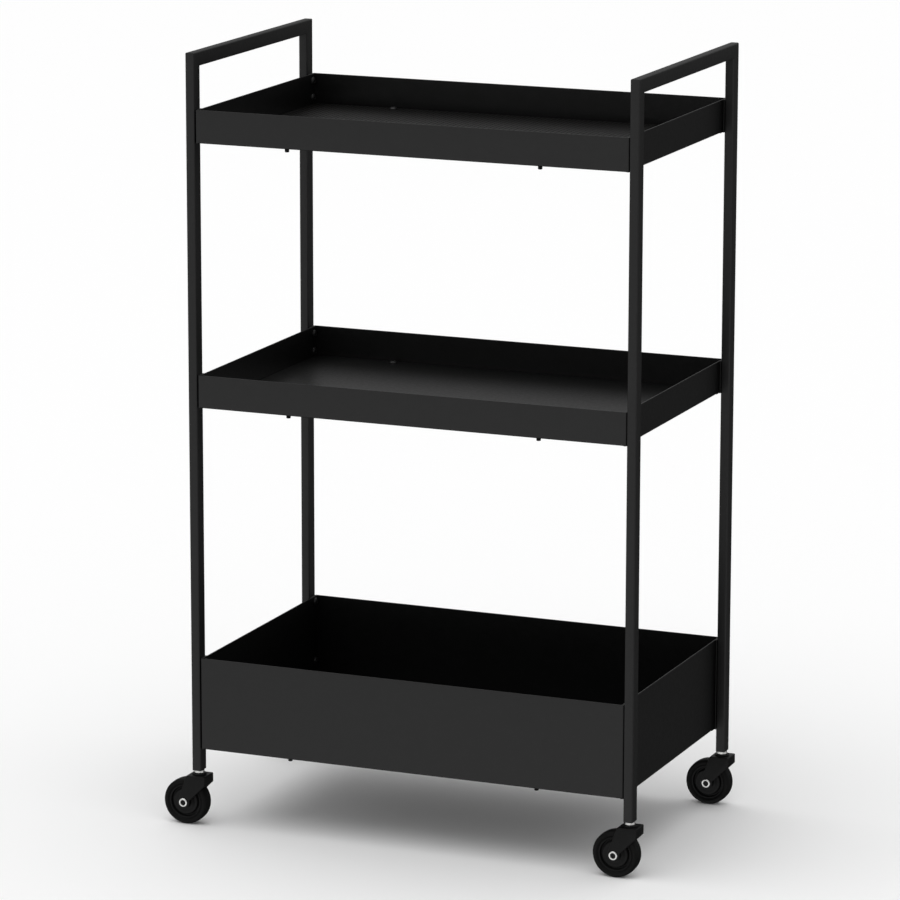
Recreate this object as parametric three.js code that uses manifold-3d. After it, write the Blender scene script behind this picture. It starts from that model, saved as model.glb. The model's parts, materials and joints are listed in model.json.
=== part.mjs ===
// A three-tier utility cart in black powder-coated steel: two inverted-U end frames, three trays
// made of pressed sheet panels, and four swivel casters. Millimetres, +Z up, the floor at Z = 0.
import * as THREE from "three";
import { mergeVertices } from "three/addons/utils/BufferGeometryUtils.js";
import Module from "manifold-3d";

const wasm = await Module();
wasm.setup();

// ---- Driving dimensions ----
const CART_LENGTH = 500; // X, over the outer faces of the two end frames
const CART_DEPTH = 300; // Y, over the posts
const CART_HEIGHT = 830; // floor to the top of the handle bars
const TUBE_WIDTH = 10; // the frame tube's size along X
const TUBE_DEPTH = 15; // the frame tube's size in the plane of the end frame
const TUBE_WALL = 1.2;
const TUBE_CORNER = 1.5;
const POST_FOOT = 60.5; // height of the open lower ends of the posts

const SHEET = 1.2; // wall panels
const BASE_SHEET = 0.8; // tray bases
const FIT = 0.4; // clearance between neighbouring sheet parts
const RAIL_RECESS = 0.7; // the long rails stand back from the front of the posts
const RAIL_BEND = 2.2; // outer bend radius at the rail's upright corners
const RAIL_LIP = 20; // the rail's bottom lip, turned in under the base
const PANEL_LIP = 14; // the same lip on the end panels
const TAB_DEPTH = 13.8; // the rail's end tab, clamped between post and end panel

const TRAYS = [
  { name: "top_tray", foot: 736, height: 35, bolts: [9, 27] },
  { name: "middle_tray", foot: 456, height: 35, bolts: [7.5, 27] },
  { name: "bottom_tray", foot: 85, height: 100, bolts: [26, 94] },
];
const BOLT_HOLE = 2.8; // radius of the corner bolts' clearance holes
const SCREW_X = 140; // the base screws' places
const SCREW_Y = 138.7;
const SCREW_RADIUS = 2.45;
const SCREW_HOLE = 2.8;
const SCREW_TIP = -4.5; // the thread's end, below the tray's underside
const SCREW_HEAD = 4.5;
const SCREW_DOME = 2.5; // height of the round head
const SEAT_RADIUS = 5.2; // the shallow pressed seat under each head
const SEAT_DEPTH = 0.1;

const CASTER_TRAIL = 14; // the wheel's axle behind the swivel axis, toward -X at rest
const WHEEL_RADIUS = 25;
const TYRE_HALF_WIDTH = 8;
const TYRE_INNER = 18.5;
const TYRE_SHOULDER = 3; // how far in from the tread the side turns over
const AXLE_OUTER = 3.4; // a tubular rivet
const AXLE_INNER = 2.7;
const AXLE_HEAD = 4.65;
const AXLE_FLANGE = 1; // thickness of the rivet's rolled ends
const FORK_WIDTH = 23; // Y, over the two legs
const FORK_LEG = 2.6;
const FORK_TOP = 55.3;
const FORK_PLATE = 3;
const FORK_FRONT = 10.5; // the top plate's reach toward the wheel
const FORK_BACK = 11; // and the other way
const FORK_SKIRT = 45.5; // lower end of the upright back edge
const FORK_HUB = 7; // round end of each leg, about the axle
const BOSS_RADIUS = 7.7; // the low boss on the fork's top plate
const BOSS_HEIGHT = 1.9;
const PIN_RADIUS = 2.5; // the part of the stem that the fork turns on
const PIN_HOLE = 2.8;
const PEEN_RADIUS = 3.8; // the stem's lower end, peened over under the fork's top plate
const PEEN_HEIGHT = 1.2;
const FLANGE_RADIUS = 5.5; // the stem's bright flange, right under the post
const SPIGOT_RADIUS = 2.9; // the part of the stem inside the post
const SPIGOT_LENGTH = 17;
const SOCKET_BORE = 3.4;
const SOCKET_LENGTH = 18;
const HUB_FACE = 8.3; // half width of the wheel's raised boss
const HUB_RADIUS = 6;
const DISC_FACE = 6.4; // half width of the disc at its outer edge
const DISC_RADIUS = 14;
const GROOVE_FACE = 3.6; // half width at the bottom of the ring groove
const GROOVE_INNER = 14.6;
const GROOVE_OUTER = 16.2;
const RIM_FACE = 6.4; // half width of the rim between the groove and the tyre
const RIM_RADIUS = 16.7;
const GAP = 0.3; // between a piece and the one that it turns on or rests against

const POST_X = CART_LENGTH / 2 - TUBE_WIDTH / 2;
const POST_Y = CART_DEPTH / 2 - TUBE_DEPTH / 2;
const RAIL_HALF = CART_LENGTH / 2 - TUBE_WIDTH - FIT;
const RAIL_FACE = CART_DEPTH / 2 - RAIL_RECESS;
const PANEL_FACE = RAIL_HALF - SHEET - FIT;
const BASE_X = PANEL_FACE - SHEET - FIT;
const BASE_Y = RAIL_FACE - SHEET - FIT;
const BASE_LIFT = SHEET + GAP;
// The casters trail toward -X, so the middle of the whole cart's box is off the frame's middle.
const BOX_SHIFT = (WHEEL_RADIUS + CASTER_TRAIL - FORK_BACK) / 2;

// ---- Materials ----
const coatedSteel = { color: 0x242424, roughness: 0.45, metalness: 0.3 };
const zinc = { color: 0xc9c9c6, roughness: 0.3, metalness: 1.0 };
const blackPlastic = { color: 0x151515, roughness: 0.5, metalness: 0.0 };
const blackRubber = { color: 0x101010, roughness: 0.75, metalness: 0.0 };
const plugPlastic = { color: 0x1a1a1a, roughness: 0.6, metalness: 0.0 };

// ---- Solids ----
function toSolid(geometry) {
  const bare = geometry.clone();
  bare.deleteAttribute("normal");
  bare.deleteAttribute("uv");
  const merged = mergeVertices(bare, 1e-4);
  const vertProperties = new Float32Array(merged.attributes.position.array);
  const triVerts = new Uint32Array(merged.index.array);
  return new wasm.Manifold(new wasm.Mesh({ numProp: 3, vertProperties, triVerts }));
}

function toGeometry(solid) {
  const mesh = solid.getMesh();
  const geometry = new THREE.BufferGeometry();
  geometry.setAttribute("position", new THREE.BufferAttribute(mesh.vertProperties, 3));
  geometry.setIndex(new THREE.BufferAttribute(mesh.triVerts, 1));
  geometry.computeVertexNormals();
  return geometry;
}

function cut(body, ...tools) {
  return tools.reduce((solid, tool) => solid.subtract(toSolid(tool)), body);
}

function join(...geometries) {
  return geometries.map(toSolid).reduce((solid, other) => solid.add(other));
}

function block(x, y, z) {
  const box = new THREE.BoxGeometry(x[1] - x[0], y[1] - y[0], z[1] - z[0]);
  return box.translate((x[0] + x[1]) / 2, (y[0] + y[1]) / 2, (z[0] + z[1]) / 2);
}

// A cylinder along Z, X or Y, from one height along its axis to another.
function rod(axis, radius, from, to, sides = 8) {
  const cylinder = new THREE.CylinderGeometry(radius, radius, to - from, sides);
  cylinder.rotateX(Math.PI / 2).translate(0, 0, (from + to) / 2);
  if (axis === "x") cylinder.rotateY(Math.PI / 2);
  if (axis === "y") cylinder.rotateX(-Math.PI / 2);
  return cylinder;
}

function roundedRectangle(width, depth, radius) {
  const x = width / 2;
  const y = depth / 2;
  const shape = new THREE.Shape();
  shape.absarc(x - radius, y - radius, radius, 0, Math.PI / 2);
  shape.absarc(radius - x, y - radius, radius, Math.PI / 2, Math.PI);
  shape.absarc(radius - x, radius - y, radius, Math.PI, 1.5 * Math.PI);
  shape.absarc(x - radius, radius - y, radius, 1.5 * Math.PI, 2 * Math.PI);
  return shape;
}

function rectangle(width, depth) {
  const shape = new THREE.Shape();
  shape.moveTo(-width / 2, -depth / 2);
  shape.lineTo(width / 2, -depth / 2);
  shape.lineTo(width / 2, depth / 2);
  shape.lineTo(-width / 2, depth / 2);
  return shape;
}

function extrude(shape, depth, curveSegments = 1, steps = 1) {
  return new THREE.ExtrudeGeometry(shape, { depth, steps, curveSegments, bevelEnabled: false });
}

// A ring or disc turned about Z from [radius, height] points, given from the bottom up outside.
function turned(profile, sides) {
  const points = profile.map(([radius, height]) => new THREE.Vector2(radius, height));
  return new THREE.LatheGeometry(points, sides).rotateX(Math.PI / 2);
}

function addMesh(parent, name, geometry, finish) {
  const mesh = new THREE.Mesh(geometry, new THREE.MeshStandardMaterial(finish));
  mesh.name = name;
  parent.add(mesh);
  return mesh;
}

// ---- End frames: one mitred tube up, across as the handle and down ----

// The tube's section swept round the inverted U. Three steps give four stations: a foot, the two
// mitred corners and the other foot. A section point's own Y is how far it lies outside the centre line.
function sweepFrame(section, foot) {
  const tube = extrude(section, 3, 1, 3);
  const position = tube.attributes.position;
  const crown = CART_HEIGHT - TUBE_DEPTH / 2;
  for (let i = 0; i < position.count; i += 1) {
    const out = position.getY(i);
    const station = Math.round(position.getZ(i));
    const side = station < 2 ? 1 : -1;
    const high = station === 1 || station === 2;
    position.setY(i, side * (POST_Y + out));
    position.setZ(i, high ? crown + out : foot);
  }
  return tube;
}

function endFrame() {
  const outer = roundedRectangle(TUBE_WIDTH, TUBE_DEPTH, TUBE_CORNER);
  const inner = rectangle(TUBE_WIDTH - 2 * TUBE_WALL, TUBE_DEPTH - 2 * TUBE_WALL);
  const frame = cut(toSolid(sweepFrame(outer, POST_FOOT)), sweepFrame(inner, POST_FOOT - 1));
  const holes = [];
  for (const tray of TRAYS) {
    for (const bolt of tray.bolts) {
      for (const side of [-1, 1]) {
        const hole = rod("x", BOLT_HOLE, 1, TUBE_WIDTH, 6);
        holes.push(hole.translate(0, side * POST_Y, tray.foot + bolt));
      }
    }
  }
  return toGeometry(cut(frame, ...holes));
}

// ---- Trays ----

// The long rail, drawn as the front one: an upright web with a tab turned in at each end and a
// lip turned in along the bottom.
function rail(tray) {
  const inset = RAIL_BEND - SHEET;
  const outline = new THREE.Shape();
  outline.moveTo(SHEET - RAIL_HALF, TAB_DEPTH);
  outline.lineTo(-RAIL_HALF, TAB_DEPTH);
  outline.absarc(RAIL_BEND - RAIL_HALF, RAIL_BEND, RAIL_BEND, Math.PI, 1.5 * Math.PI);
  outline.absarc(RAIL_HALF - RAIL_BEND, RAIL_BEND, RAIL_BEND, 1.5 * Math.PI, 2 * Math.PI);
  outline.lineTo(RAIL_HALF, TAB_DEPTH);
  outline.lineTo(RAIL_HALF - SHEET, TAB_DEPTH);
  outline.absarc(RAIL_HALF - RAIL_BEND, RAIL_BEND, inset, 2 * Math.PI, 1.5 * Math.PI, true);
  outline.absarc(RAIL_BEND - RAIL_HALF, RAIL_BEND, inset, 1.5 * Math.PI, Math.PI, true);
  const web = extrude(outline, tray.height, 2);
  const lip = block([-BASE_X, BASE_X], [SHEET / 2, RAIL_LIP], [0, SHEET]);
  const screwHoles = [-1, 1].map((side) =>
    rod("z", SCREW_HOLE, -1, SHEET + 1).translate(side * SCREW_X, RAIL_FACE - SCREW_Y, 0),
  );
  const boltHoles = tray.bolts.map((bolt) =>
    rod("x", BOLT_HOLE, -RAIL_HALF - 1, RAIL_HALF + 1, 6).translate(0, RAIL_FACE - POST_Y, bolt),
  );
  const solid = cut(join(web, lip), ...screwHoles, ...boltHoles);
  return toGeometry(solid).translate(0, -RAIL_FACE, 0);
}

// The end panel, drawn as the right one: an upright plate with a lip turned in along the bottom.
function endPanel(tray) {
  const half = BASE_Y;
  const lipHalf = RAIL_FACE - RAIL_LIP - FIT;
  const plate = block([-SHEET, 0], [-half, half], [0, tray.height]);
  const lip = block([-PANEL_LIP, -SHEET / 2], [-lipHalf, lipHalf], [0, SHEET]);
  const holes = [];
  for (const bolt of tray.bolts) {
    for (const side of [-1, 1]) {
      const hole = rod("x", BOLT_HOLE, -SHEET - 1, 1, 6);
      holes.push(hole.translate(0, side * POST_Y, bolt));
    }
  }
  return toGeometry(cut(join(plate, lip), ...holes)).translate(PANEL_FACE, 0, 0);
}

function base() {
  const sheet = extrude(rectangle(2 * BASE_X, 2 * BASE_Y), BASE_SHEET).translate(0, 0, BASE_LIFT);
  const top = BASE_LIFT + BASE_SHEET;
  const cuts = corners(SCREW_X, SCREW_Y).flatMap(([, x, y]) => [
    rod("z", SCREW_HOLE, BASE_LIFT - 1, top + 1).translate(x, y, 0),
    rod("z", SEAT_RADIUS, top - SEAT_DEPTH, top + 1, 12).translate(x, y, 0),
  ]);
  return toGeometry(cut(toSolid(sheet), ...cuts));
}

// A low round-headed screw, put in from above, its head in the base's seat.
function baseScrew() {
  const seat = BASE_LIFT + BASE_SHEET - SEAT_DEPTH + GAP;
  return turned(
    [
      [0, SCREW_TIP],
      [SCREW_RADIUS, SCREW_TIP],
      [SCREW_RADIUS, seat],
      [SCREW_HEAD, seat],
      [0.8 * SCREW_HEAD, seat + 0.8 * SCREW_DOME],
      [0, seat + SCREW_DOME],
    ],
    8,
  );
}

function buildTray(cart, tray) {
  const group = new THREE.Group();
  group.position.z = tray.foot;
  cart.add(group);
  addMesh(group, `${tray.name}_front_rail`, rail(tray), coatedSteel);
  addMesh(group, `${tray.name}_back_rail`, rail(tray), coatedSteel).rotation.z = Math.PI;
  addMesh(group, `${tray.name}_right_panel`, endPanel(tray), coatedSteel);
  addMesh(group, `${tray.name}_left_panel`, endPanel(tray), coatedSteel).rotation.z = Math.PI;
  addMesh(group, `${tray.name}_base`, base(), coatedSteel);
  for (const [place, x, y] of corners(SCREW_X, SCREW_Y)) {
    const screw = addMesh(group, `${tray.name}_screw_${place}`, baseScrew(), coatedSteel);
    screw.position.set(x, y, 0);
  }
}

function corners(x, y) {
  return [
    ["front_left", -x, -y],
    ["front_right", x, -y],
    ["back_left", -x, y],
    ["back_right", x, y],
  ];
}

// ---- Casters, drawn about the swivel axis, the floor at Z = 0 ----

// The plug that fills the foot of a post and holds the caster's stem.
function socket() {
  const width = TUBE_WIDTH - 2 * TUBE_WALL - 2 * GAP;
  const depth = TUBE_DEPTH - 2 * TUBE_WALL - 2 * GAP;
  const plug = extrude(roundedRectangle(width, depth, 1), SOCKET_LENGTH).translate(0, 0, POST_FOOT);
  const bore = rod("z", SOCKET_BORE, POST_FOOT - 1, POST_FOOT + SOCKET_LENGTH + 1, 12);
  return toGeometry(cut(toSolid(plug), bore));
}

// The steel stem: a peened end below the fork, the swivel pin, a flange and a spigot in the post.
function stem() {
  const bottom = FORK_TOP - FORK_PLATE - GAP;
  const flange = FORK_TOP + BOSS_HEIGHT + GAP;
  return turned(
    [
      [0, bottom - PEEN_HEIGHT],
      [PEEN_RADIUS, bottom - 0.7 * PEEN_HEIGHT],
      [PEEN_RADIUS, bottom],
      [PIN_RADIUS, bottom],
      [PIN_RADIUS, flange],
      [FLANGE_RADIUS, flange],
      [FLANGE_RADIUS, POST_FOOT - GAP],
      [SPIGOT_RADIUS, POST_FOOT - GAP],
      [SPIGOT_RADIUS, POST_FOOT + SPIGOT_LENGTH],
      [0, POST_FOOT + SPIGOT_LENGTH],
    ],
    12,
  );
}

// The fork's side outline: a flat top, an upright back edge, a 45 degree edge down to the round
// end about the axle, and a straight front edge.
function forkOutline() {
  const axleX = -CASTER_TRAIL;
  const axleZ = WHEEL_RADIUS;
  const slopeAt = FORK_SKIRT - FORK_BACK; // the 45 degree edge is Z = X + slopeAt
  const offset = (axleZ - axleX - slopeAt) / Math.SQRT2; // the axle's distance to that edge
  const lowAngle = Math.acos(offset / FORK_HUB) - Math.PI / 4;
  const reach = Math.hypot(axleX + FORK_FRONT, FORK_TOP - axleZ);
  const bearing = Math.atan2(FORK_TOP - axleZ, -FORK_FRONT - axleX);
  const highAngle = bearing + Math.acos(FORK_HUB / reach);
  const outline = new THREE.Shape();
  outline.moveTo(FORK_BACK, FORK_TOP);
  outline.lineTo(-FORK_FRONT, FORK_TOP);
  outline.absarc(axleX, axleZ, FORK_HUB, highAngle, lowAngle + 2 * Math.PI);
  outline.lineTo(FORK_BACK, FORK_SKIRT);
  return outline;
}

function fork() {
  const half = FORK_WIDTH / 2;
  const inside = half - FORK_LEG;
  const sides = extrude(forkOutline(), FORK_WIDTH, 5).rotateX(Math.PI / 2).translate(0, half, 0);
  const boss = rod("z", BOSS_RADIUS, FORK_TOP - 1, FORK_TOP + BOSS_HEIGHT, 16);
  const front = -CASTER_TRAIL - WHEEL_RADIUS;
  const wheelRoom = block([front, FORK_BACK - FORK_LEG], [-inside, inside], [0, FORK_TOP - FORK_PLATE]);
  const pinHole = rod("z", PIN_HOLE, FORK_TOP - 5, FORK_TOP + 5, 12);
  const axleHole = rod("y", AXLE_OUTER + GAP, -half - 1, half + 1, 12);
  axleHole.translate(-CASTER_TRAIL, 0, WHEEL_RADIUS);
  return toGeometry(cut(join(sides, boss), wheelRoom, pinHole, axleHole));
}

// The wheel's parts and the axle are turned about their own axis, then laid along Y by the group.
function wheelCore() {
  const rim = TYRE_INNER - GAP;
  const bore = AXLE_OUTER + GAP;
  const half = [
    [bore, HUB_FACE],
    [HUB_RADIUS, HUB_FACE],
    [DISC_RADIUS, DISC_FACE],
    [GROOVE_INNER, GROOVE_FACE],
    [GROOVE_OUTER, GROOVE_FACE],
    [RIM_RADIUS, RIM_FACE],
    [rim, RIM_FACE],
  ];
  const lower = half.map(([radius, height]) => [radius, -height]);
  const upper = half.slice().reverse();
  return turned([...lower, ...upper, lower[0]], 20);
}

function tyre() {
  const side = TYRE_HALF_WIDTH;
  const crown = WHEEL_RADIUS;
  const half = [
    [TYRE_INNER, side],
    [crown - TYRE_SHOULDER, side],
    [crown - 0.25 * TYRE_SHOULDER, side - 0.7 * TYRE_SHOULDER],
    [crown, side / 3],
  ];
  const lower = half.map(([radius, height]) => [radius, -height]);
  const upper = half.slice().reverse();
  return turned([...lower, ...upper, lower[0]], 32);
}

// A tubular rivet, flanged at both ends.
function axle() {
  const seat = FORK_WIDTH / 2 + GAP;
  const half = [
    [AXLE_INNER, seat + AXLE_FLANGE],
    [AXLE_HEAD - 0.3 * AXLE_FLANGE, seat + AXLE_FLANGE],
    [AXLE_HEAD, seat],
    [AXLE_OUTER, seat],
  ];
  const lower = half.map(([radius, height]) => [radius, -height]);
  const upper = half.slice().reverse();
  return turned([...lower, ...upper, lower[0]], 14);
}

function buildCaster(cart, place, x, y) {
  const swivel = new THREE.Group();
  swivel.position.set(x, y, 0);
  cart.add(swivel);
  const name = `caster_${place}`;
  addMesh(swivel, `${name}_socket`, socket(), plugPlastic);
  addMesh(swivel, `${name}_stem`, stem(), zinc);
  addMesh(swivel, `${name}_fork`, fork(), blackPlastic);
  const wheel = new THREE.Group();
  wheel.position.set(-CASTER_TRAIL, 0, WHEEL_RADIUS);
  wheel.rotation.x = Math.PI / 2;
  swivel.add(wheel);
  addMesh(wheel, `${name}_axle`, axle(), zinc);
  addMesh(wheel, `${name}_wheel`, wheelCore(), blackPlastic);
  addMesh(wheel, `${name}_tyre`, tyre(), blackRubber);
}

// ---- The cart ----
const cart = new THREE.Group();
cart.position.x = BOX_SHIFT;
const leftFrame = addMesh(cart, "end_frame_left", endFrame(), coatedSteel);
leftFrame.position.x = -POST_X;
const rightFrame = addMesh(cart, "end_frame_right", endFrame(), coatedSteel);
rightFrame.position.x = POST_X;
rightFrame.rotation.z = Math.PI;
for (const tray of TRAYS) buildTray(cart, tray);
for (const [place, x, y] of corners(POST_X, POST_Y)) buildCaster(cart, place, x, y);

export default cart;
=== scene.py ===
"""The finished look of a three-tier utility cart: powder-coated tube and sheet steel, an
expanded-metal top base, round-headed fasteners and swivel casters, on a plain pale floor."""

import json
import math

import bmesh
import bpy
from mathutils import Matrix, Vector


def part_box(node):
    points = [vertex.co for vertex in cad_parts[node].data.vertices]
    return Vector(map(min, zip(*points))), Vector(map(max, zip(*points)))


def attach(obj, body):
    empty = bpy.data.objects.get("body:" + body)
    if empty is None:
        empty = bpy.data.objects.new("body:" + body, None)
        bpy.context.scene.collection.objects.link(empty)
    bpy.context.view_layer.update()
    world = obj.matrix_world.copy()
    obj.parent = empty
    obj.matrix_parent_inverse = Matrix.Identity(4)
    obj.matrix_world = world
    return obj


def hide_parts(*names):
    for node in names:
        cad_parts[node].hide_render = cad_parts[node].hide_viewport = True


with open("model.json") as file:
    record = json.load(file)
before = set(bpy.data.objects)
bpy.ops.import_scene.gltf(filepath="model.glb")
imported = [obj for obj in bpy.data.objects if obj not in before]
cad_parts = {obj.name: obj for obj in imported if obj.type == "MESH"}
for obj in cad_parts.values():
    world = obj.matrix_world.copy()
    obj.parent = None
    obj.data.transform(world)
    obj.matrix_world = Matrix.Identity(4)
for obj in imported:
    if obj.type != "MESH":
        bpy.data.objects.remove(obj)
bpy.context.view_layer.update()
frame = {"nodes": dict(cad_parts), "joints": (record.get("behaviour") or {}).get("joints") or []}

MM = 0.001
TRAYS = ("top_tray", "middle_tray", "bottom_tray")
PLACES = ("front_left", "front_right", "back_left", "back_right")
SMOOTH_ANGLE = 35  # degrees; shading runs smoothly over edges that bend less

# Sheet and tube
SHEET = 1.2 * MM
SHEET_EDGE = 0.35 * MM  # the soft edge that the coating gives cut sheet
TUBE = (10 * MM, 15 * MM)  # the tube's size along X, and in the plane of the end frame
TUBE_WALL = 1.2 * MM
TUBE_CORNER = 1.5 * MM
TUBE_EDGE = 0.3 * MM  # the soft edge at the mitres and the open feet
RAIL_CORNER = 2.2 * MM  # outer bend radius at a rail's upright corners
TAB_DEPTH = 13.8 * MM  # the rail's end tab, clamped between post and end panel
LIP_BEND = 2.0 * MM  # outer bend radius along the bottom of a rail or panel
LIP_GAP = 0.4 * MM  # between an end panel's lip and the rails' lips
BASE_CORNER = 3.0 * MM

# Expanded metal
CELL_X = 11.84 * MM  # the long way of a diamond
CELL_Y = 5.7 * MM
BOND_X = 1.7 * MM  # half size of the bond between four strands
BOND_Y = 0.85 * MM
BOND_RISE = 0.7 * MM  # how far a bond's back corner stands above its front corner
BOND_CORNERS = {
    "left": (-BOND_X, 0),
    "right": (BOND_X, 0),
    "front": (0, -BOND_Y),
    "back": (0, BOND_Y),
}
STRAND = 0.75 * MM  # thickness

# Fasteners
SHANK = 2.45 * MM
SHANK_TIP = 0.6 * MM  # the chamfer at the shank's end
HEAD_RADIUS = 4.5 * MM
HEAD_HEIGHT = 2.5 * MM
HEAD_CHAMFER = 0.25 * MM
DOME_START, DOME_END = 12, 62  # degrees of a quarter circle that the head's dome follows
SOCKET_APOTHEM = 1.5 * MM
SOCKET_DEPTH = 1.5 * MM
THREAD_PITCH = 0.8 * MM
THREAD_DEPTH = 0.28 * MM
SCREW_PLAIN = 2 * MM  # the length of shank without a thread
BOLT_LENGTH = 8 * MM
BOLT_PLAIN = 4 * MM
BOLT_HEIGHTS = {  # the corner bolts' heights above each tray's underside
    "top_tray": (9 * MM, 27 * MM),
    "middle_tray": (7.5 * MM, 27 * MM),
    "bottom_tray": (26 * MM, 94 * MM),
}

# Casters
GAP = 0.3 * MM  # between a piece and the one that it turns on or rests against
FORK_LEG = 2.6 * MM
FORK_PLATE = 3.0 * MM
FORK_FRONT = 10.5 * MM  # the top plate's reach toward the wheel
FORK_SKIRT = 9.8 * MM  # height of the upright back edge
FORK_HUB = 7.0 * MM  # round end of each leg, about the axle
FORK_CORNER = 1.0 * MM  # rounding at the two ends of the top plate
FORK_EDGE = 0.7 * MM
ROOM_EDGE = 1.2 * MM  # rounding inside the wheel's room
ROOM_FRONT = -60 * MM  # the room runs out past the wheel and the floor
ROOM_FOOT = -5 * MM
BOSS_RADIUS = 7.7 * MM  # the low boss on the fork's top plate
BOSS_HEIGHT = 1.9 * MM
BOSS_ROOT = 1.5 * MM  # how far it reaches down into the plate
BOSS_EDGE = 0.6 * MM
PIN_RADIUS = 2.5 * MM  # the part of the stem that the fork turns on
PIN_HOLE = 2.8 * MM
PIN_REACH = 9 * MM  # the hole is cut this far above and below the plate's top
PEEN_RADIUS = 3.8 * MM  # the stem's lower end, peened over under the fork's top plate
SPIGOT_RADIUS = 2.9 * MM  # the part of the stem inside the post
AXLE_HOLE = 3.7 * MM
AXLE_OUTER = 3.4 * MM  # a tubular rivet
AXLE_INNER = 2.7 * MM
AXLE_FLANGE = 1.0 * MM  # thickness of the rivet's rolled ends
SHADE_PLUG_RADIUS = 2.6 * MM  # a dark plug inside the hollow rivet: painted shade for the inside of its bore
SHADE_PLUG_RECESS = 0.9 * MM
SHADE_PLUG_CHAMFER = 0.3 * MM
DISC_DEPTH = 1.9 * MM  # from the wheel's raised boss in to its disc and rim
GROOVE_DEPTH = 4.7 * MM  # and in to the bottom of its ring groove
TYRE_FIT = 0.03 * MM  # between the wheel and its tyre
TYRE_SHOULDER = 3.4 * MM  # radius
TYRE_CROWN = 0.2 * MM  # the tread's middle stands this far above its shoulders

# Studio: what shows in the coat's reflections, in each direction, then the rest
FRONT_LIGHT = 0.97  # low in front, a little to the left
BACK_LIGHT = 0.06  # low behind
SIDE_LIGHT = 0.75  # low on the right
SKY_LIGHT = 0.42  # above
BRIGHT_SIDE = (-0.35, -0.94, 0.0)  # the direction in which it is brightest
FILL_LIGHT = 0.75  # what lights matt surfaces, from all sides
BACKGROUND = 0.98  # seen straight on, so that the floor has no horizon
LAMP_ENERGY = 1.1
LAMP_SPREAD = 70  # degrees across
LAMP_TILT = (12, -8)  # degrees, toward the front and toward the left
FLOOR_REACH = 40.0  # metres each way

# Camera
AIM = Vector((0.0009, -0.0054, 0.4013))
DISTANCE = 5.1055  # metres
AZIMUTH = 22.519  # degrees to the right of the front
ELEVATION = 12.502
ROLL = 0.102
LENS = 192.8  # millimetres, as the sensor's width
SENSOR = 36.0


# ---- Making meshes ----

def add_object(name, bm):
    """An object in the scene. It uses the bmesh up."""
    mesh = bpy.data.meshes.new(name)
    bm.to_mesh(mesh)
    bm.free()
    thing = bpy.data.objects.new(name, mesh)
    bpy.context.scene.collection.objects.link(thing)
    return thing


def add_piece(name, bm, finish, body):
    """A piece from a bmesh in the row's frame, with flat faces."""
    piece = add_object(name, bm)
    piece.data.materials.append(finish)
    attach(piece, body)
    return piece


def add_smooth_piece(name, bm, finish, body):
    """The same, with smooth shading over its gentle edges."""
    bmesh.ops.recalc_face_normals(bm, faces=bm.faces)
    piece = add_piece(name, bm, finish, body)
    piece.data.shade_smooth()
    piece.data.set_sharp_from_angle(angle=math.radians(SMOOTH_ANGLE))
    return piece


def copy_bmesh(source, matrix):
    """A moved copy of a bmesh."""
    copy = source.copy()
    bmesh.ops.transform(copy, matrix=matrix, verts=copy.verts)
    return copy


def soften(piece, width=SHEET_EDGE, angle=60):
    """A small bevel along the edges that bend more than the angle."""
    bevel = piece.modifiers.new("edge", "BEVEL")
    bevel.width = width
    bevel.segments = 2
    bevel.limit_method = "ANGLE"
    bevel.angle_limit = math.radians(angle)
    bevel.harden_normals = True
    bevel.use_clamp_overlap = True


def arc(centre, radius, start, end, steps):
    """Points on an arc from one angle to another, in degrees, both ends included."""
    points = []
    for i in range(steps + 1):
        angle = math.radians(start + (end - start) * i / steps)
        points.append((centre[0] + radius * math.cos(angle), centre[1] + radius * math.sin(angle)))
    return points


def rounded_rectangle(width, depth, radius, steps=6):
    """Its outline about the origin, with so many steps to each round corner."""
    x, y = width / 2 - radius, depth / 2 - radius
    points = []
    for cx, cy, start in ((x, y, 0), (-x, y, 90), (-x, -y, 180), (x, -y, 270)):
        points += arc((cx, cy), radius, start, start + 90, steps)
    return points


def turned(profile, segments, closed=False):
    """A solid turned about Z. A profile point is (radius, height), or (apothem, height, sides) for a
    polygon instead of a circle. A point at radius 0 becomes one vertex."""
    bm = bmesh.new()
    rings = []
    for point in profile:
        radius, height = point[:2]
        if radius == 0:
            rings.append([bm.verts.new((0, 0, height))])
            continue
        ring = []
        for i in range(segments):
            angle = 2 * math.pi * i / segments
            r = radius
            if len(point) == 3:
                sector = 2 * math.pi / point[2]
                r = radius / math.cos((angle % sector) - sector / 2)
            ring.append(bm.verts.new((r * math.cos(angle), r * math.sin(angle), height)))
        rings.append(ring)
    pairs = list(zip(rings, rings[1:]))
    if closed:
        pairs.append((rings[-1], rings[0]))
    for low, high in pairs:
        for i in range(segments):
            j = (i + 1) % segments
            corners = [low[i % len(low)], low[j % len(low)], high[j % len(high)], high[i % len(high)]]
            corners = list(dict.fromkeys(corners))
            if len(corners) > 2:
                bm.faces.new(corners)
    return bm


def mirrored(half):
    """A whole profile from its upper half."""
    return [(r, -z) for r, z in half] + half[::-1]


def rod(radius, low, high):
    """A cylinder about Z."""
    return turned([(0, low), (radius, low), (radius, high), (0, high)], 40)


def extruded(near, far):
    """A solid between two rings of corners that match one for one."""
    bm = bmesh.new()
    near = [bm.verts.new(corner) for corner in near]
    far = [bm.verts.new(corner) for corner in far]
    bm.faces.new(near)
    bm.faces.new(far[::-1])
    for i in range(len(near)):
        j = (i + 1) % len(near)
        bm.faces.new((near[j], near[i], far[i], far[j]))
    return bm


def prism(outline, low, high):
    """An outline in X and Z, extruded along Y."""
    return extruded([(x, low, z) for x, z in outline], [(x, high, z) for x, z in outline])


def slab(low, high):
    """A block between two corners."""
    outline = [(low[0], low[2]), (high[0], low[2]), (high[0], high[2]), (low[0], high[2])]
    return prism(outline, low[1], high[1])


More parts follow.
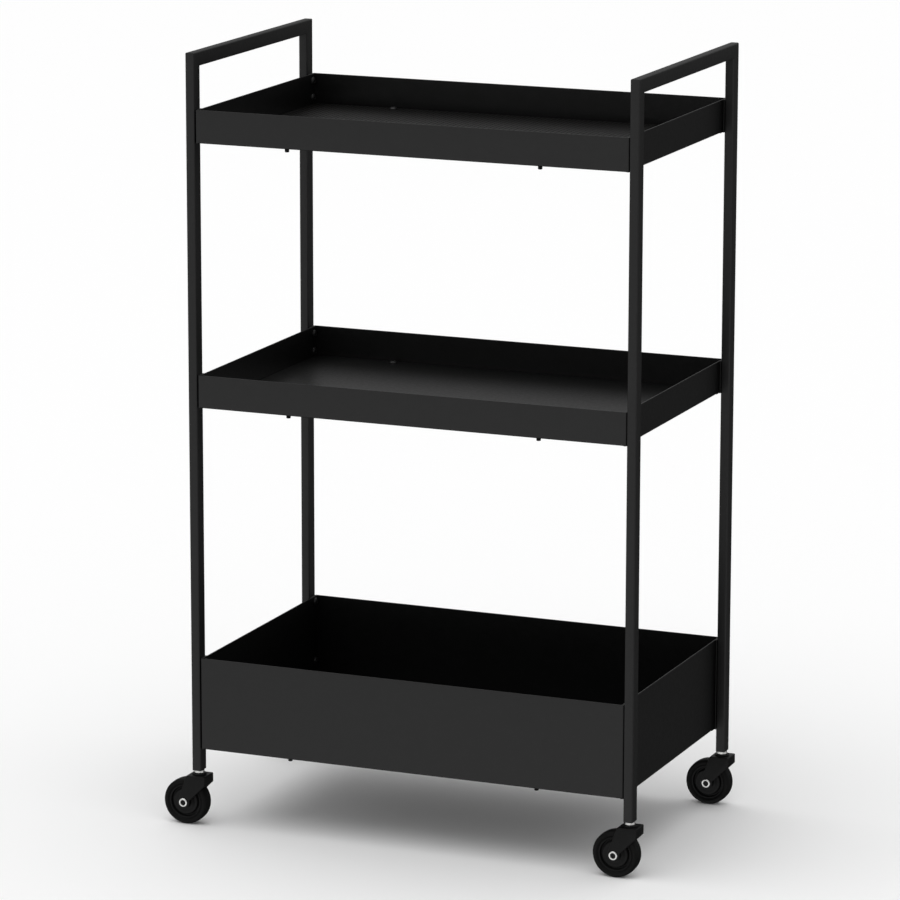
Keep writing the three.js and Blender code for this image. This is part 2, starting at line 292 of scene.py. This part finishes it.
def modified(bm, kind, **settings):
    """The bmesh with a modifier applied."""
    bmesh.ops.recalc_face_normals(bm, faces=bm.faces)
    work = add_object("work", bm)
    modifier = work.modifiers.new(kind, kind)
    for name, value in settings.items():
        setattr(modifier, name, value)
    result = bmesh.new()
    result.from_object(work, bpy.context.evaluated_depsgraph_get())
    bpy.data.objects.remove(work)
    return result


def combined(bm, other, operation):
    """The bmesh with another joined to it or cut from it."""
    bmesh.ops.recalc_face_normals(other, faces=other.faces)
    tool = add_object("tool", other)
    result = modified(bm, "BOOLEAN", object=tool, operation=operation, solver="EXACT")
    bpy.data.objects.remove(tool)
    return result


# ---- Finishes ----

def scaled(color, factor):
    return tuple(factor * channel for channel in color)


class Finish:
    """A node material on the row frame's own coordinates, built up one step at a time."""

    def __init__(self, name, color, roughness, metallic=0.0, specular=0.5):
        self.material = bpy.data.materials.new(name)
        self.material.use_nodes = True
        self.nodes = self.material.node_tree.nodes
        self.links = self.material.node_tree.links
        self.shader = self.nodes["Principled BSDF"]
        self.shader.inputs["Base Color"].default_value = (*color, 1)
        self.shader.inputs["Roughness"].default_value = roughness
        self.shader.inputs["Metallic"].default_value = metallic
        self.shader.inputs["Specular IOR Level"].default_value = specular
        self.place = self.nodes.new("ShaderNodeTexCoord").outputs["Object"]
        self.normal = None

    def noise(self, scale, detail=3.0):
        """Noise with about so many spots to the metre."""
        node = self.nodes.new("ShaderNodeTexNoise")
        node.inputs["Scale"].default_value = scale
        node.inputs["Detail"].default_value = detail
        node.inputs["Roughness"].default_value = 0.55
        self.links.new(self.place, node.inputs["Vector"])
        return node.outputs["Fac"]

    def noise_between(self, scale, low, high):
        """Noise whose usual span, 0.3 to 0.7, is stretched to run from low to high."""
        node = self.nodes.new("ShaderNodeMapRange")
        node.inputs["From Min"].default_value = 0.3
        node.inputs["From Max"].default_value = 0.7
        node.inputs["To Min"].default_value = low
        node.inputs["To Max"].default_value = high
        self.links.new(self.noise(scale), node.inputs["Value"])
        return node.outputs["Result"]

    def vary_roughness(self, scale, low, high):
        self.links.new(self.noise_between(scale, low, high), self.shader.inputs["Roughness"])

    def vary_color(self, scale, dark, light):
        node = self.nodes.new("ShaderNodeMix")
        node.data_type = "RGBA"
        node.inputs["A"].default_value = (*dark, 1)
        node.inputs["B"].default_value = (*light, 1)
        self.links.new(self.noise_between(scale, 0, 1), node.inputs["Factor"])
        self.links.new(node.outputs["Result"], self.shader.inputs["Base Color"])

    def bump(self, height, strength, distance):
        """Bump on top of any earlier bump."""
        node = self.nodes.new("ShaderNodeBump")
        node.inputs["Strength"].default_value = strength
        node.inputs["Distance"].default_value = distance
        self.links.new(height, node.inputs["Height"])
        if self.normal is not None:
            self.links.new(self.normal, node.inputs["Normal"])
        self.normal = node.outputs["Normal"]
        self.links.new(self.normal, self.shader.inputs["Normal"])


def powder_coat(name, tint, specular=0.38, rough=(0.32, 0.4)):
    """Satin powder coat: a fine orange peel over sheet that isn't perfectly flat."""
    finish = Finish(name, tint, sum(rough) / 2, specular=specular)
    finish.vary_color(60.0, scaled(tint, 0.85), scaled(tint, 1.15))
    finish.vary_roughness(260.0, *rough)
    finish.bump(finish.noise(7.0, 1.0), 0.10, 0.6 * MM)
    finish.bump(finish.noise(1300.0, 2.0), 0.45, 0.06 * MM)
    return finish.material


def zinc_plate():
    finish = Finish("bright_zinc", (0.80, 0.80, 0.78), 0.26, metallic=1.0)
    finish.vary_color(400.0, (0.70, 0.70, 0.69), (0.88, 0.88, 0.86))
    finish.vary_roughness(900.0, 0.18, 0.34)
    finish.bump(finish.noise(2500.0, 2.0), 0.08, 0.02 * MM)
    return finish.material


def moulded_plastic(name, tint, low, high):
    """Black moulded plastic with a fine spark-eroded grain."""
    finish = Finish(name, tint, (low + high) / 2, specular=0.17)
    finish.vary_color(150.0, scaled(tint, 0.8), scaled(tint, 1.25))
    finish.vary_roughness(500.0, low, high)
    finish.bump(finish.noise(2600.0, 3.0), 0.22, 0.04 * MM)
    return finish.material


def tyre_rubber():
    finish = Finish("tyre_rubber", (0.003, 0.003, 0.003), 0.6, specular=0.12)
    finish.vary_color(90.0, (0.0025, 0.0025, 0.0025), (0.004, 0.004, 0.0039))
    finish.vary_roughness(300.0, 0.5, 0.68)
    finish.bump(finish.noise(1800.0, 4.0), 0.25, 0.05 * MM)
    return finish.material


STEEL = powder_coat("powder_coat_black", (0.0026, 0.0026, 0.0026))
TUBE_STEEL = powder_coat("powder_coat_tube", (0.003, 0.003, 0.003), specular=0.42, rough=(0.46, 0.54))
MESH_STEEL = powder_coat("powder_coat_mesh", (0.003, 0.0029, 0.0026), specular=0.17)
SCREW_BLACK = powder_coat("screw_black", (0.006, 0.006, 0.006))
ZINC = zinc_plate()
NYLON = moulded_plastic("caster_nylon", (0.003, 0.003, 0.003), 0.36, 0.5)
PLUG = moulded_plastic("plug_plastic", (0.006, 0.006, 0.006), 0.5, 0.65)
RUBBER = tyre_rubber()


# ---- End frames ----

def swept_tube(bm, section, middle_x, post_y, foot, crown):
    """The section swept up one post, across the top and down the other, and its two end rings. A
    section point is (x, how far it lies outside the centre line)."""
    stations = []
    for side, height, at_corner in ((-1, foot, 0), (-1, crown, 1), (1, crown, 1), (1, foot, 0)):
        ring = []
        for x, out in section:
            place = (middle_x + x, side * (post_y + out), height + out * at_corner)
            ring.append(bm.verts.new(place))
        stations.append(ring)
    for a, b in zip(stations, stations[1:]):
        for i in range(len(section)):
            j = (i + 1) % len(section)
            bm.faces.new((a[i], a[j], b[j], b[i]))
    return stations[0], stations[-1]


def end_frame(side):
    """The rectangular tube, mitred at the two upper corners, open at its feet and hollow inside."""
    low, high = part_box(f"end_frame_{side}")
    course = ((low.x + high.x) / 2, (high.y - low.y - TUBE[1]) / 2, low.z, high.z - TUBE[1] / 2)
    inside = (TUBE[0] - 2 * TUBE_WALL, TUBE[1] - 2 * TUBE_WALL)
    bm = bmesh.new()
    outer_ends = swept_tube(bm, rounded_rectangle(*TUBE, TUBE_CORNER), *course)
    inner_ends = swept_tube(bm, rounded_rectangle(*inside, TUBE_CORNER - TUBE_WALL), *course)
    for ring, hole in zip(outer_ends, inner_ends):
        for i in range(len(ring)):
            j = (i + 1) % len(ring)
            bm.faces.new((ring[i], ring[j], hole[j], hole[i]))
    piece = add_smooth_piece(f"frame_tube_{side}", bm, TUBE_STEEL, "cart")
    soften(piece, TUBE_EDGE, 50)
    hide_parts(f"end_frame_{side}")


# ---- Tray panels ----

def bent_sheet(plan, height, lip_half, lip_depth):
    """A pressed panel. The plan is its outer face seen from above, as (along, inward) points; a lip
    is bent inward along the bottom, where the plan is straight, out to lip_half each way."""
    bm = bmesh.new()
    rows = (0.0, LIP_BEND, height)
    columns = [[bm.verts.new((x, y, z)) for z in rows] for x, y in plan]
    for left, right in zip(columns, columns[1:]):
        ends = (left[0].co, right[0].co)
        on_lip = all(abs(end.x) <= lip_half + 1e-6 and end.y == 0 for end in ends)
        for row in range(1 if on_lip else 0, len(rows) - 1):
            bm.faces.new((left[row], right[row], right[row + 1], left[row + 1]))
        if not on_lip:
            continue
        above = (left[1], right[1])
        bend = arc((LIP_BEND, LIP_BEND), LIP_BEND, 180, 270, 6)[1:]
        for y, z in bend + [(lip_depth, 0.0)]:
            below = [bm.verts.new((end.x, y, z)) for end in ends]
            bm.faces.new((below[0], below[1], above[1], above[0]))
            above = below
    bmesh.ops.remove_doubles(bm, verts=bm.verts, dist=1e-6)
    for vertex in [v for v in bm.verts if not v.link_faces]:
        bm.verts.remove(vertex)
    return bm


def place_panel(name, node, bm, turn, offset):
    """Turns a panel to face outward, gives it its thickness and lets it stand for its CAD node."""
    matrix = Matrix.Translation(offset) @ Matrix.Rotation(turn, 4, "Z")
    bmesh.ops.transform(bm, matrix=matrix, verts=bm.verts)
    piece = add_smooth_piece(name, bm, STEEL, "cart")
    outward = Matrix.Rotation(turn, 3, "Z") @ Vector((0, -1, 0))
    if piece.data.polygons[0].normal.dot(outward) < 0:
        piece.data.flip_normals()
    thickness = piece.modifiers.new("thickness", "SOLIDIFY")
    thickness.thickness = SHEET
    thickness.offset = -1.0
    thickness.use_even_offset = True
    soften(piece)
    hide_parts(node)


def rail(tray, place):
    """A long rail, drawn as the front one: its web turns in at each end as a tab."""
    node = f"{tray}_{place}_rail"
    low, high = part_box(node)
    half = (high.x - low.x) / 2
    base_low, base_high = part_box(f"{tray}_base")
    lip_half = (base_high.x - base_low.x) / 2
    corner = arc((RAIL_CORNER - half, RAIL_CORNER), RAIL_CORNER, 180, 270, 8)
    left = [(-half, TAB_DEPTH)] + corner + [(-lip_half, 0.0)]
    right = [(-x, y) for x, y in reversed(left)]
    bm = bent_sheet(left + right, high.z - low.z, lip_half, high.y - low.y)
    front = place == "front"
    offset = Vector(((low.x + high.x) / 2, low.y if front else high.y, low.z))
    place_panel(f"{tray}_rail_{place}", node, bm, 0 if front else math.pi, offset)


def end_panel(tray, side):
    """An upright plate between the rails' tabs."""
    node = f"{tray}_{side}_panel"
    low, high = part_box(node)
    half = (high.y - low.y) / 2
    lip_half = -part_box(f"{tray}_front_rail")[1].y - LIP_GAP
    plan = [(-half, 0.0), (-lip_half, 0.0), (lip_half, 0.0), (half, 0.0)]
    bm = bent_sheet(plan, high.z - low.z, lip_half, high.x - low.x)
    right = side == "right"
    offset = Vector((high.x if right else low.x, 0.0, low.z))
    turn = math.pi / 2 if right else -math.pi / 2
    place_panel(f"{tray}_end_{side}", node, bm, turn, offset)


# ---- Tray bases ----

def sheet_base(tray):
    """A plain base: a sheet with rounded corners."""
    node = f"{tray}_base"
    low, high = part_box(node)
    middle = (low + high) / 2
    outline = rounded_rectangle(high.x - low.x, high.y - low.y, BASE_CORNER)
    corners = [(middle.x + x, middle.y + y) for x, y in outline]
    bm = extruded([(x, y, low.z) for x, y in corners], [(x, y, high.z) for x, y in corners])
    piece = add_smooth_piece(f"{tray}_base_sheet", bm, STEEL, "cart")
    soften(piece)
    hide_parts(node)


def add_bond(bm, x, y, z):
    """The flat knot between four strands: a lower and an upper vertex at each corner."""
    bond = {}
    for name, (dx, dy) in BOND_CORNERS.items():
        height = z + BOND_RISE * dy / BOND_Y / 2
        bond[name] = [bm.verts.new((x + dx, y + dy, height + side * STRAND / 2)) for side in (-1, 1)]
    around = [bond[name] for name in ("left", "front", "right", "back")]
    bm.faces.new([pair[1] for pair in around])
    bm.faces.new([pair[0] for pair in reversed(around)])
    return bond


def mesh_base(tray):
    """The expanded-metal base: diamond openings between strands that meet four at a bond. Each
    strand joins the corners of two bonds."""
    low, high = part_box(f"{tray}_base")
    columns = 2 * round((high.x - low.x - 2 * BOND_X) / CELL_X)
    rows = 2 * round((high.y - low.y - 2 * BOND_Y) / CELL_Y)
    step_x = (high.x - low.x - 2 * BOND_X) / columns
    step_y = (high.y - low.y - 2 * BOND_Y) / rows
    bm = bmesh.new()
    bonds = {}
    for i in range(columns + 1):
        for j in range(i % 2, rows + 1, 2):
            x = low.x + BOND_X + i * step_x
            y = low.y + BOND_Y + j * step_y
            bonds[i, j] = add_bond(bm, x, y, (low.z + high.z) / 2)

    def wall(a, b):
        bm.faces.new((a[0], b[0], b[1], a[1]))

    def strand(a, b, c, d):
        bm.faces.new((a[1], b[1], c[1], d[1]))
        bm.faces.new((d[0], c[0], b[0], a[0]))
        wall(a, b)
        wall(c, d)

    for (i, j), bond in bonds.items():
        after = bonds.get((i + 1, j + 1))
        if after:
            strand(bond["right"], after["front"], after["left"], bond["back"])
        else:
            wall(bond["right"], bond["back"])
        before = bonds.get((i + 1, j - 1))
        if before:
            strand(bond["front"], before["left"], before["back"], bond["right"])
        else:
            wall(bond["front"], bond["right"])
        if (i - 1, j - 1) not in bonds:
            wall(bond["left"], bond["front"])
        if (i - 1, j + 1) not in bonds:
            wall(bond["back"], bond["left"])
    piece = add_piece(f"{tray}_mesh", bm, MESH_STEEL, "cart")
    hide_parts(f"{tray}_base")


# ---- Fasteners ----

def round_head(length, plain):
    """A round-headed screw along +Z, its head's underside at Z = 0 and its shank below, with thread
    ridges from the plain part down to the end, and a hexagonal socket."""
    profile = [(0.0, -length), (SHANK - SHANK_TIP, -length)]
    depth = length - 0.5 * MM
    while depth > plain:
        profile.append((SHANK, -depth))
        profile.append((SHANK - THREAD_DEPTH, -depth + THREAD_PITCH / 2))
        depth -= THREAD_PITCH
    profile += [
        (SHANK, -depth),
        (SHANK, 0.0),
        (HEAD_RADIUS - HEAD_CHAMFER, 0.0),
        (HEAD_RADIUS, HEAD_CHAMFER),
        (HEAD_RADIUS, HEAD_CHAMFER + 0.3 * MM),
    ]
    dome = (HEAD_HEIGHT - HEAD_CHAMFER) / math.sin(math.radians(DOME_END))
    for r, z in arc((0, 0), 1.0, DOME_START, DOME_END, 7):
        profile.append((HEAD_RADIUS * r, HEAD_CHAMFER + dome * z))
    profile += [
        (SOCKET_APOTHEM + 0.12 * MM, HEAD_HEIGHT, 6),
        (SOCKET_APOTHEM, HEAD_HEIGHT - 0.15 * MM, 6),
        (SOCKET_APOTHEM, HEAD_HEIGHT - SOCKET_DEPTH, 6),
        (0.0, HEAD_HEIGHT - SOCKET_DEPTH - 0.4 * MM),
    ]
    return turned(profile, 36)


def base_screws(tray):
    """The four screws through the base and the rails' lips."""
    base_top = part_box(f"{tray}_base")[1].z
    screw_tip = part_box(f"{tray}_screw_front_left")[0].z
    screw = round_head(base_top - screw_tip, SCREW_PLAIN)
    for place in PLACES:
        node = f"{tray}_screw_{place}"
        low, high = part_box(node)
        at = Matrix.Translation(((low.x + high.x) / 2, (low.y + high.y) / 2, base_top))
        name = f"{tray}_base_screw_{place}"
        piece = add_smooth_piece(name, copy_bmesh(screw, at), SCREW_BLACK, "cart")
        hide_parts(node)
    screw.free()


def corner_bolts(tray):
    """Two bolts in each corner, from inside the tray through panel and tab into the post."""
    bolt = round_head(BOLT_LENGTH, BOLT_PLAIN)
    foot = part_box(f"{tray}_front_rail")[0].z
    for place in PLACES:
        depth, side = place.split("_")
        low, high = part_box(f"{tray}_{side}_panel")
        face, inward = (low.x + SHEET, 1) if side == "left" else (high.x - SHEET, -1)
        turn = Matrix.Rotation(inward * math.pi / 2, 4, "Y")
        post_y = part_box(f"end_frame_{side}")[1].y - TUBE[1] / 2
        y = -post_y if depth == "front" else post_y
        for level, height in zip(("lower", "upper"), BOLT_HEIGHTS[tray]):
            at = Matrix.Translation((face, y, foot + height))
            name = f"{tray}_corner_bolt_{place}_{level}"
            add_smooth_piece(name, copy_bmesh(bolt, at @ turn), SCREW_BLACK, "cart")
    bolt.free()


# ---- Casters: the fork and stem are drawn about the swivel axis, with the floor at Z = 0 ----

def swivel_place(place):
    """X and Y of a caster's swivel axis."""
    joint = next(j for j in frame["joints"] if j["name"] == f"caster_{place}_swivel")
    return joint["pos_m"][0], joint["pos_m"][1]


def onto_axle(axle):
    """Lays a solid that is turned about Z on the wheel's axle, at (x, z) from the swivel axis."""
    return Matrix.Translation((axle[0], 0, axle[1])) @ Matrix.Rotation(math.pi / 2, 4, "X")


def fork_outline(back, top, axle):
    """A flat top, an upright back edge, a 45 degree edge down to the round end about the axle, and a
    straight front edge."""
    front = -FORK_FRONT
    skirt = top - FORK_SKIRT
    offset = (axle[1] - axle[0] - (skirt - back)) / math.sqrt(2)
    low_angle = math.degrees(math.acos(offset / FORK_HUB)) - 45
    reach = math.hypot(axle[0] - front, top - axle[1])
    bearing = math.degrees(math.atan2(top - axle[1], front - axle[0]))
    high_angle = bearing + math.degrees(math.acos(FORK_HUB / reach))
    outline = arc(axle, FORK_HUB, high_angle, low_angle + 360, 40)
    outline.append((back, skirt))
    outline += arc((back - FORK_CORNER, top - FORK_CORNER), FORK_CORNER, 0, 90, 5)
    outline += arc((front + FORK_CORNER, top - FORK_CORNER), FORK_CORNER, 90, 150, 4)
    return outline


def fork_solid(back, top, width, axle):
    """The outline across the fork's whole width, with a boss on top, less the wheel's room and the
    holes for the pin and the axle."""
    half = width / 2
    solid = modified(
        prism(fork_outline(back, top, axle), -half, half),
        "BEVEL",
        width=FORK_EDGE,
        segments=3,
        limit_method="ANGLE",
        angle_limit=math.radians(60),
    )
    room = slab(
        (ROOM_FRONT, FORK_LEG - half, ROOM_FOOT),
        (back - FORK_LEG, half - FORK_LEG, top - FORK_PLATE),
    )
    room = modified(room, "BEVEL", width=ROOM_EDGE, segments=4, limit_method="NONE")
    solid = combined(solid, room, "DIFFERENCE")
    boss_top = top + BOSS_HEIGHT
    boss = [
        (0, top - BOSS_ROOT),
        (BOSS_RADIUS, top - BOSS_ROOT),
        (BOSS_RADIUS, boss_top - BOSS_EDGE),
        (BOSS_RADIUS - BOSS_EDGE, boss_top),
        (0, boss_top),
    ]
    solid = combined(solid, turned(boss, 48), "UNION")
    solid = combined(solid, rod(PIN_HOLE, top - PIN_REACH, top + PIN_REACH), "DIFFERENCE")
    hole = rod(AXLE_HOLE, -width, width)
    bmesh.ops.transform(hole, matrix=onto_axle(axle), verts=hole.verts)
    return combined(solid, hole, "DIFFERENCE")


def wheel_solid(radius, width):
    """The wheel's centre: a boss, a dished disc, a deep ring groove and a rim."""
    boss = width / 2
    face = boss - DISC_DEPTH
    groove = boss - GROOVE_DEPTH
    half = [
        (AXLE_HOLE, boss - 0.3 * MM),
        (AXLE_HOLE + 0.3 * MM, boss),
        (6.0 * MM, boss),
        (6.5 * MM, boss - 0.4 * MM),
        (7.0 * MM, face - 0.5 * MM),
        (7.8 * MM, face - 0.8 * MM),
        (10.5 * MM, face - 0.5 * MM),
        (12.6 * MM, face),
        (13.4 * MM, face - 0.15 * MM),
        (13.9 * MM, face - 0.6 * MM),
        (14.5 * MM, groove + 0.4 * MM),
        (14.9 * MM, groove),
        (15.8 * MM, groove),
        (16.2 * MM, groove + 0.4 * MM),
        (16.6 * MM, face - 0.5 * MM),
        (17.0 * MM, face - 0.1 * MM),
        (17.5 * MM, face),
        (radius - 0.2 * MM, face),
        (radius, face - 0.2 * MM),
    ]
    return turned(mirrored(half), 96, closed=True)


def tyre_solid(inner, radius, width):
    """The tyre: a step at each side, round shoulders, a slightly crowned tread and a parting line."""
    side = width / 2
    shoulder = (radius - TYRE_CROWN - TYRE_SHOULDER, side - TYRE_SHOULDER)
    half = [
        (inner, side - 1.8 * MM),
        (inner + 0.2 * MM, side - 1.6 * MM),
        (inner + 0.9 * MM, side - 1.3 * MM),
        (inner + 1.5 * MM, side - 0.5 * MM),
        (inner + 2.1 * MM, side - 0.05 * MM),
        (shoulder[0], side),
        *arc(shoulder, TYRE_SHOULDER, 78, 14, 8),
        (radius - 0.12 * MM, 2.6 * MM),
        (radius - 0.04 * MM, 1.2 * MM),
        (radius - 0.03 * MM, 0.35 * MM),
        (radius, 0.2 * MM),
    ]
    return turned(mirrored(half), 128, closed=True)


def axle_solid(length, head_radius):
    """A tubular rivet whose ends are rolled over."""
    tip = length / 2
    root = tip - AXLE_FLANGE
    half = [
        (AXLE_INNER, tip - 1.4 * MM),
        (AXLE_INNER + 0.12 * MM, tip - 0.6 * MM),
        (AXLE_INNER + 0.45 * MM, tip - 0.12 * MM),
        (AXLE_INNER + 0.8 * MM, tip),
        (head_radius - 0.75 * MM, tip),
        (head_radius - 0.3 * MM, tip - 0.15 * MM),
        (head_radius, tip - 0.5 * MM),
        (head_radius, root + 0.1 * MM),
        (head_radius - 0.1 * MM, root),
        (AXLE_OUTER, root),
    ]
    return turned(mirrored(half), 64, closed=True)


def shade_plug_solid(length):
    """A dark plug inside the tubular axle, with chamfered ends: painted shade that stands for the
    shade down the rivet's bore.
    """
    tip = length / 2 - SHADE_PLUG_RECESS
    half = [(0, tip), (SHADE_PLUG_RADIUS - SHADE_PLUG_CHAMFER, tip), (SHADE_PLUG_RADIUS, tip - SHADE_PLUG_CHAMFER)]
    return turned(mirrored(half), 48)


def stem_solid(low, high, flange_low, flange_high, flange_radius, fork_under):
    """The stem: a peened end, the swivel pin, the flange with its grease groove and the spigot."""
    middle = (flange_low + flange_high) / 2
    profile = [
        (0, low),
        (2.6 * MM, low + 0.1 * MM),
        (3.5 * MM, low + 0.45 * MM),
        (PEEN_RADIUS, fork_under - 0.35 * MM),
        (PEEN_RADIUS, fork_under),
        (PIN_RADIUS, fork_under),
        (PIN_RADIUS, flange_low),
        (flange_radius - 0.3 * MM, flange_low),
        (flange_radius, flange_low + 0.3 * MM),
        (flange_radius, middle - 0.2 * MM),
        (flange_radius - 0.3 * MM, middle),
        (flange_radius - 0.3 * MM, middle + 0.35 * MM),
        (flange_radius - 0.05 * MM, middle + 0.6 * MM),
        (flange_radius - 0.05 * MM, flange_high - 0.3 * MM),
        (flange_radius - 0.4 * MM, flange_high),
        (SPIGOT_RADIUS, flange_high),
        (SPIGOT_RADIUS, high - 0.6 * MM),
        (SPIGOT_RADIUS - 0.6 * MM, high),
        (0, high),
    ]
    return turned(profile, 64)


def caster_solids(axle):
    """Each piece of a caster once, sized on the front left one. The wheel's pieces are drawn about
    Z, which onto_axle then turns."""
    parts = ("fork", "wheel", "tyre", "axle", "stem")
    boxes = {part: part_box(f"caster_front_left_{part}") for part in parts}
    size = {part: high - low for part, (low, high) in boxes.items()}
    fork_high = boxes["fork"][1]
    stem_low, stem_high = boxes["stem"]
    plate_top = fork_high.z - BOSS_HEIGHT
    back = fork_high.x - swivel_place("front_left")[0]
    post_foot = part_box("end_frame_left")[0].z
    rim = size["wheel"].z / 2
    return {
        "fork": fork_solid(back, plate_top, size["fork"].y, axle),
        "wheel": wheel_solid(rim, size["wheel"].y),
        "tyre": tyre_solid(rim + TYRE_FIT, size["tyre"].z / 2, size["tyre"].y),
        "axle": axle_solid(size["axle"].y, size["axle"].z / 2),
        # the dark plug in the rivet is painted shade for the inside of its bore
        "axle_shade_plug": shade_plug_solid(size["axle"].y),
        "stem": stem_solid(
            stem_low.z,
            stem_high.z,
            fork_high.z + GAP,
            post_foot - GAP,
            size["stem"].x / 2,
            plate_top - FORK_PLATE - GAP,
        ),
    }


def casters():
    """Sets a copy of each solid at every caster, and finishes the sockets, whose CAD shape stays."""
    looks = {
        "fork": (NYLON, "caster_plastic", "caster_{}"),
        "wheel": (NYLON, "caster_plastic", "wheel_{}"),
        "tyre": (RUBBER, "tyre_rubber", "wheel_{}"),
        "axle": (ZINC, "zinc_steel", "caster_{}"),
        # a dark plug that stands for the shade inside the hollow rivet: painted shade
        "axle_shade_plug": (NYLON, "caster_plastic", "caster_{}"),
        "stem": (ZINC, "zinc_steel", "cart"),
    }
    tyre_low, tyre_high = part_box("caster_front_left_tyre")
    tyre_middle = (tyre_low + tyre_high) / 2
    axle = (tyre_middle.x - swivel_place("front_left")[0], tyre_middle.z)
    solids = caster_solids(axle)
    for place in PLACES:
        at = Matrix.Translation((*swivel_place(place), 0))
        for part, solid in solids.items():
            finish, slot, body = looks[part]
            matrix = at if part in ("fork", "stem") else at @ onto_axle(axle)
            copy = copy_bmesh(solid, matrix)
            piece = add_smooth_piece(f"{part}_{place}", copy, finish, body.format(place))
            # the painted-shade plug in the rivet has no CAD part to hide
            if part != "axle_shade_plug":
                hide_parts(f"caster_{place}_{part}")
        socket = frame["nodes"][f"caster_{place}_socket"]
        socket.data.materials.clear()
        socket.data.materials.append(PLUG)
    for solid in solids.values():
        solid.free()


# ---- Studio ----

def floor():
    bm = bmesh.new()
    bmesh.ops.create_grid(bm, x_segments=1, y_segments=1, size=FLOOR_REACH)
    plane = add_object("floor", bm)
    paint = Finish("floor_paint", (0.93, 0.93, 0.93), 0.9, specular=0.1)
    plane.data.materials.append(paint.material)
    plane.visible_glossy = False


def surroundings():
    """Reflections see an even sky, and from the horizon down a light that is brightest in front and
    dim behind. Matt surfaces see one even light, and the camera sees a plain pale background."""
    world = bpy.data.worlds.new("studio")
    world.use_nodes = True
    nodes = world.node_tree.nodes
    links = world.node_tree.links

    def blended(light, other, value, start, end):
        """The light, turning smoothly into the other as the value goes from start to end."""
        node = nodes.new("ShaderNodeMapRange")
        node.interpolation_type = "SMOOTHSTEP"
        node.inputs["From Min"].default_value = start
        node.inputs["From Max"].default_value = end
        node.inputs["To Max"].default_value = other
        links.new(light, node.inputs["To Min"])
        links.new(value, node.inputs["Value"])
        return node.outputs["Result"]

    direction = nodes.new("ShaderNodeTexCoord").outputs["Generated"]
    along = nodes.new("ShaderNodeSeparateXYZ")
    links.new(direction, along.inputs["Vector"])
    frontness = nodes.new("ShaderNodeVectorMath")
    frontness.operation = "DOT_PRODUCT"
    frontness.inputs[1].default_value = BRIGHT_SIDE
    links.new(direction, frontness.inputs[0])
    ray = nodes.new("ShaderNodeLightPath").outputs
    behind = nodes.new("ShaderNodeValue").outputs["Value"]
    behind.default_value = BACK_LIGHT
    light = blended(behind, FRONT_LIGHT, frontness.outputs["Value"], -0.3, 0.8)
    light = blended(light, SIDE_LIGHT, along.outputs["X"], 0.6, 0.95)
    light = blended(light, SKY_LIGHT, along.outputs["Z"], -0.1, 0.15)
    light = blended(light, FILL_LIGHT, ray["Is Diffuse Ray"], 0, 1)
    light = blended(light, BACKGROUND, ray["Is Camera Ray"], 0, 1)
    background = nodes["Background"]
    background.inputs["Color"].default_value = (1, 1, 1, 1)
    links.new(light, background.inputs["Strength"])
    bpy.context.scene.world = world


def overhead():
    """Broad soft light from above, a little in front and to the left."""
    light = bpy.data.lights.new("overhead", "SUN")
    light.energy = LAMP_ENERGY
    light.angle = math.radians(LAMP_SPREAD)
    lamp = bpy.data.objects.new("overhead", light)
    lamp.rotation_euler = (math.radians(LAMP_TILT[0]), math.radians(LAMP_TILT[1]), 0)
    bpy.context.scene.collection.objects.link(lamp)


def studio():
    surroundings()
    overhead()
    floor()
    bpy.context.scene.view_settings.view_transform = "Standard"
    bpy.context.scene.view_settings.look = "None"


def camera():
    """The eye stands 5.1 m away, a little to the right of the front and a little above."""
    azimuth, elevation = math.radians(AZIMUTH), math.radians(ELEVATION)
    back = Vector(
        (
            math.sin(azimuth) * math.cos(elevation),
            -math.cos(azimuth) * math.cos(elevation),
            math.sin(elevation),
        )
    )
    lens = bpy.data.cameras.new("camera")
    lens.sensor_width = SENSOR
    lens.lens = LENS
    lens.clip_end = 100.0
    eye = bpy.data.objects.new("camera", lens)
    eye.location = AIM + back * DISTANCE
    eye.rotation_mode = "QUATERNION"
    level = (-back).to_track_quat("-Z", "Y")
    roll = Matrix.Rotation(math.radians(ROLL), 3, "Z").to_quaternion()
    eye.rotation_quaternion = level @ roll
    bpy.context.scene.collection.objects.link(eye)
    bpy.context.scene.camera = eye


camera()
studio()
for side_name in ("left", "right"):
    end_frame(side_name)
for tray_name in TRAYS:
    rail(tray_name, "front")
    rail(tray_name, "back")
    end_panel(tray_name, "left")
    end_panel(tray_name, "right")
    base_screws(tray_name)
    corner_bolts(tray_name)
mesh_base("top_tray")
sheet_base("middle_tray")
sheet_base("bottom_tray")
casters()
